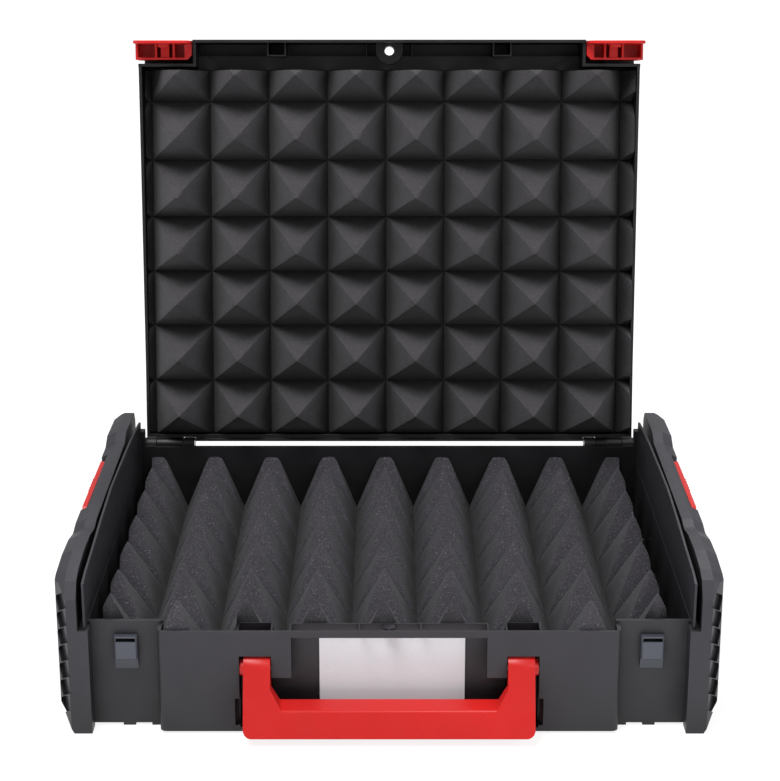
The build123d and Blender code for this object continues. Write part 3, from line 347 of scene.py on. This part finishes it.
def eased(node, material, body):
    """A copy of a CAD node with its sharp edges rounded over, which stands for the node."""
    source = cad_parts[node]
    piece = bpy.data.objects.new(node + "_eased", source.data.copy())
    bpy.context.scene.collection.objects.link(piece)
    mesh = piece.data
    work = bmesh.new()
    work.from_mesh(mesh)
    bmesh.ops.remove_doubles(work, verts=work.verts, dist=WELD_DISTANCE * MM)
    flat = math.radians(FLAT_ANGLE)
    bmesh.ops.dissolve_limit(work, angle_limit=flat, verts=work.verts, edges=work.edges)
    work.to_mesh(mesh)
    work.free()
    mesh.materials.clear()
    mesh.materials.append(material)
    bevel = piece.modifiers.new("ease", "BEVEL")
    bevel.width = EASE_WIDTH * MM
    bevel.segments = EASE_SEGMENTS
    bevel.limit_method = "ANGLE"
    bevel.angle_limit = math.radians(EASE_ANGLE)
    bevel.harden_normals = True
    bevel.use_clamp_overlap = True
    bpy.context.view_layer.update()
    done = bpy.data.meshes.new_from_object(piece.evaluated_get(bpy.context.evaluated_depsgraph_get()))
    piece.modifiers.clear()
    piece.data = done
    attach(piece, body)
    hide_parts(node)
    return piece


# Foam pads

def marks_between(low, high, first, pitch):
    """Ridge and valley places along one side of a pad, as (place, 0 on a ridge or 1 in a valley)."""
    half = pitch / 2
    start = math.floor((low - first) / half)
    stop = math.ceil((high - first) / half)
    return [(first + number * half, number % 2) for number in range(start, stop + 1)]


def grid_lines(low, high, marks, steps):
    """Grid lines from low to high that fall on every ridge, every valley and evenly between them."""
    lines = []
    for (here, _), (there, _) in zip(marks, marks[1:]):
        lines += [here + (there - here) * number / steps for number in range(steps)]
    lines.append(marks[-1][0])
    return [low, *[at for at in lines if low + EDGE_ROOM < at < high - EDGE_ROOM], high]


def with_cuts(lines, cuts):
    """The grid lines with one more at each cut, and none too near to it."""
    for cut in cuts:
        lines = [at for at in lines if abs(at - cut) > CUT_ROOM] + [cut]
    return sorted(lines)


def away(at, marks):
    """0 on a ridge, 1 in a valley."""
    for (here, value), (there, other) in zip(marks, marks[1:]):
        if at <= there:
            return value + (other - value) * (at - here) / (there - here)
    return marks[-1][1]


def pillow(across, along, form):
    """Height of one foam pyramid, 0 in its valley and 1 at its tip. The form is (plump, tip, groove)."""
    plump, tip, groove = form
    gap = across - along
    near = (across + along + math.sqrt(gap * gap + RIDGE_SOFTNESS)) / 2
    rise = min(1.0, max(0.0, 1 - near))
    rise = rise + plump * math.sin(math.pi * rise) * (1 - 0.5 * rise)
    rise -= groove * math.exp(-rise * GROOVE_TIGHTNESS)
    rounded = 1 - tip - tip * math.exp(-(rise - 1 + 2 * tip) / tip)
    return rise if rise < 1 - 2 * tip else rounded


def height_pad(xs, ys, keep, height, floor):
    """Mesh of a pad, in millimetres: the top follows height(x, y) and the sides drop to floor(x, y)."""
    verts = []
    faces = []
    tops = {}
    floors = {}

    def top(i, j):
        if (i, j) not in tops:
            tops[i, j] = len(verts)
            verts.append((xs[i], ys[j], height(xs[i], ys[j])))
        return tops[i, j]

    def bottom(i, j, level):
        if (i, j, level) not in floors:
            floors[i, j, level] = len(verts)
            verts.append((xs[i], ys[j], level))
        return floors[i, j, level]

    wide = len(xs) - 1
    deep = len(ys) - 1
    levels = {}
    for i in range(wide):
        for j in range(deep):
            middle = ((xs[i] + xs[i + 1]) / 2, (ys[j] + ys[j + 1]) / 2)
            if keep(*middle):
                levels[i, j] = floor(*middle)
    for (i, j), level in levels.items():
        a, b, c, d = (i, j), (i + 1, j), (i + 1, j + 1), (i, j + 1)
        tall = [verts[top(*corner)][2] for corner in (a, b, c, d)]
        if abs(tall[0] - tall[2]) > abs(tall[1] - tall[3]):
            faces += [(top(*a), top(*b), top(*c)), (top(*a), top(*c), top(*d))]
        else:
            faces += [(top(*a), top(*b), top(*d)), (top(*b), top(*c), top(*d))]
        under = [bottom(*corner, level) for corner in (a, b, c, d)]
        faces.append(tuple(reversed(under)))
        sides = (((a, b), (0, -1), 0), ((b, c), (1, 0), 1), ((c, d), (0, 1), 2), ((d, a), (-1, 0), 3))
        for (p, q), (di, dj), at in sides:
            beside = levels.get((i + di, j + dj))
            if beside is None:
                faces.append((under[at], under[(at + 1) % 4], top(*q), top(*p)))
            elif beside > level:
                faces.append((under[at], under[(at + 1) % 4], bottom(*q, beside), bottom(*p, beside)))
    return verts, faces


def swell(x, y, swells):
    """How far slow swells move the foam's surface at a place, up or down."""
    return sum(height * noise.noise(Vector((x / size, y / size, seed))) for height, size, seed in swells)


def pad_piece(name, verts, faces, material, node, body):
    """A finished pad that stands for its CAD node and rides on its body."""
    piece = new_piece(name, [tuple(at * MM for at in vert) for vert in verts], faces, material)
    piece.data.set_sharp_from_angle(angle=math.radians(FOAM_CREASE))
    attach(piece, body)
    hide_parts(node)
    return piece


def base_pad(material):
    """Tall pad in the tub, cut round the recess, the handle slots and the catch bays."""
    columns = marks_between(BASE_LOW_X, BASE_HIGH_X, BASE_FIRST_X, BASE_PITCH_X)
    rows = list(BASE_ROWS)
    edge_rows = [*BASE_EDGE_FRONT, *BASE_ROWS[len(BASE_EDGE_FRONT):]]
    xs = grid_lines(BASE_LOW_X, BASE_HIGH_X, columns, CELL_STEPS)
    ys = grid_lines(BASE_FRONT_Y, BASE_REAR_Y, rows, CELL_STEPS)
    xs = with_cuts(xs, (*BASE_CUTS_X, *(-at for at in BASE_CUTS_X)))
    ys = with_cuts(ys, (*BASE_CUTS_Y, *(at for at, _ in BASE_EDGE_FRONT[1:])))
    recess_x, casing_x, slot_x, corner_x = BASE_CUTS_X
    slot_y, recess_y, bay_y = BASE_CUTS_Y

    def height(x, y):
        here = rows if BASE_EDGE_X[0] < x < BASE_EDGE_X[1] else edge_rows
        rise = pillow(away(x, columns), away(y, here), BASE_PYRAMID_FORM)
        rear = min(1.0, max(0.0, (y - BASE_REAR_START) / BASE_REAR_RUN)) * rise * BASE_REAR_RISE
        plain = BASE_VALLEY_Z + rise * (BASE_PEAK_Z - BASE_VALLEY_Z) + rear
        return plain + swell(x, y, BASE_SWELLS) - SWELL_DROP

    def keep(x, y):
        side = abs(x)
        return not (side < recess_x and y < recess_y or casing_x < side < slot_x and y < slot_y
                    or side > corner_x and y < bay_y)

    def floor(x, y):
        return BASE_STEP_Z if recess_x < abs(x) < casing_x and y < recess_y else BASE_FLOOR_Z

    verts, faces = height_pad(xs, ys, keep, height, floor)
    return pad_piece("foam_pad_base", verts, faces, material, "foam_base", "base")


def lid_pad(material):
    """Pad in the lid, made closed with its pyramids down, then turned open with the lid."""
    columns = marks_between(-LID_HALF_X, LID_HALF_X, LID_FIRST_X, LID_PITCH_X)
    rows = list(LID_ROWS)
    xs = grid_lines(-LID_HALF_X, LID_HALF_X, columns, CELL_STEPS)
    ys = grid_lines(LID_FRONT_Y, LID_REAR_Y, rows, CELL_STEPS)

    def height(x, y):
        rise = pillow(away(x, columns), away(y, rows), LID_PYRAMID_FORM)
        return LID_SLAB + rise * LID_PYRAMID + swell(x, y, LID_SWELLS) - SWELL_DROP

    verts, faces = height_pad(xs, ys, lambda x, y: True, height, lambda x, y: 0.0)
    turn = math.radians(LID_OPEN)
    opened = []
    for x, y, rise in verts:
        dy = y - HINGE_Y
        dz = LID_TOP_Z - rise - HINGE_Z
        opened.append((x, HINGE_Y + dy * math.cos(turn) + dz * math.sin(turn),
                       HINGE_Z - dy * math.sin(turn) + dz * math.cos(turn)))
    faces = [tuple(reversed(face)) for face in faces]
    return pad_piece("foam_pad_lid", opened, faces, material, "foam_lid", "lid")


def main():
    shell = plastic("shell_plastic", SHELL_HEX, 0.5, dim_inside=True)
    fender = plastic("fender_plastic", FENDER_HEX, 0.5)
    lid = plastic("lid_plastic", LID_HEX, 0.42)
    catch = plastic("catch_plastic", CATCH_HEX, 0.5)
    red = plastic("red_plastic", RED_HEX, 0.4, grain=0.5, worn=0.05, depth=0.35, crevice_shade=1.0)
    label = paper_plate("label_film", LABEL_HEX)
    metal = steel("pin_steel", STEEL_HEX)
    charcoal = foam("foam_charcoal", FOAM_HEX, 2.2)
    dark_foam = foam("foam_dark", LID_FOAM_HEX, 1.4)
    finish = {
        "base_shell": shell, "fender_right": fender, "fender_left": fender, "fender_screws": metal,
        "catch_right": catch, "catch_left": catch, "label_plate": label, "foam_base": charcoal,
        "handle_pins": metal, "hinge_pin_right": metal, "hinge_pin_left": metal, "handle": red,
        "side_lock_right": red, "side_lock_left": red, "lid_shell": lid, "foam_lid": dark_foam,
        "latch_right": red, "latch_left": red, "latch_pin_right": metal, "latch_pin_left": metal,
    }
    for node, material in finish.items():
        dress(node, material)
    for node in ("handle", "latch_right", "latch_left"):
        eased(node, red, body=node)
    base_pad(charcoal)
    lid_pad(dark_foam)
    floor_and_light()
    camera()


def camera():
    data = bpy.data.cameras.new("camera")
    data.sensor_width = CAMERA_SENSOR
    data.lens = CAMERA_LENS
    data.clip_end = CAMERA_FAR
    eye = bpy.data.objects.new("camera", data)
    eye.location = CAMERA_PLACE
    eye.rotation_euler = (math.radians(90 - CAMERA_DOWN), 0, 0)
    bpy.context.scene.collection.objects.link(eye)
    bpy.context.scene.camera = eye


def area_light(name, place, target, size, power):
    data = bpy.data.lights.new(name, "AREA")
    data.shape = "RECTANGLE"
    data.size, data.size_y = size
    data.energy = power
    lamp = bpy.data.objects.new(name, data)
    lamp.location = place
    lamp.rotation_euler = (Vector(target) - Vector(place)).to_track_quat("-Z", "Y").to_euler()
    bpy.context.scene.collection.objects.link(lamp)


def floor_and_light():
    s = Shader("studio_white")
    path = s.add("ShaderNodeLightPath").outputs
    seen = s.maths("MAXIMUM", path["Is Camera Ray"], path["Is Glossy Ray"])
    seen = s.maths("MAXIMUM", seen, path["Is Transmission Ray"])
    matt = s.add("ShaderNodeBsdfDiffuse", {"Color": (0.8, 0.8, 0.8, 1.0)})
    thin = s.add("ShaderNodeBsdfDiffuse", {"Color": (0.3, 0.3, 0.3, 1.0)})
    away_from_case = s.add("ShaderNodeVectorMath", {0: object_place(s)}, operation="LENGTH").outputs["Value"]
    strength = s.spread(away_from_case, GLOW_NEAR, GLOW_FAR, GLOW_NEAR_LIGHT, GLOW_FAR_LIGHT)
    glow = s.add("ShaderNodeEmission", {"Color": (1.0, 1.0, 1.0, 1.0), "Strength": strength})
    bright = s.add("ShaderNodeAddShader", {0: thin.outputs[0], 1: glow.outputs[0]})
    mix = s.add("ShaderNodeMixShader", {0: seen, 1: matt.outputs[0], 2: bright.outputs[0]})
    s.put(s.output, "Surface", mix.outputs[0])
    reach = FLOOR_REACH
    verts = [(-reach, -reach, 0), (reach, -reach, 0), (reach, reach, 0), (-reach, reach, 0)]
    floor = new_piece("studio_floor", verts, [(0, 1, 2, 3)], s.material, smooth=False)
    world = bpy.data.worlds.new("studio")
    bpy.context.scene.world = world
    world.use_nodes = True
    tree = world.node_tree
    tree.nodes.clear()
    out = tree.nodes.new("ShaderNodeOutputWorld")
    fill = tree.nodes.new("ShaderNodeBackground")
    fill.inputs["Color"].default_value = (1.0, 1.0, 1.0, 1.0)
    fill.inputs["Strength"].default_value = WORLD_FILL
    white = tree.nodes.new("ShaderNodeBackground")
    white.inputs["Color"].default_value = (1.0, 1.0, 1.0, 1.0)
    light_path = tree.nodes.new("ShaderNodeLightPath")
    mix = tree.nodes.new("ShaderNodeMixShader")
    tree.links.new(light_path.outputs["Is Camera Ray"], mix.inputs[0])
    tree.links.new(fill.outputs[0], mix.inputs[1])
    tree.links.new(white.outputs[0], mix.inputs[2])
    tree.links.new(mix.outputs[0], out.inputs["Surface"])
    for lamp in LAMPS:
        area_light(*lamp)
    bpy.context.scene.view_settings.view_transform = "Standard"


main()
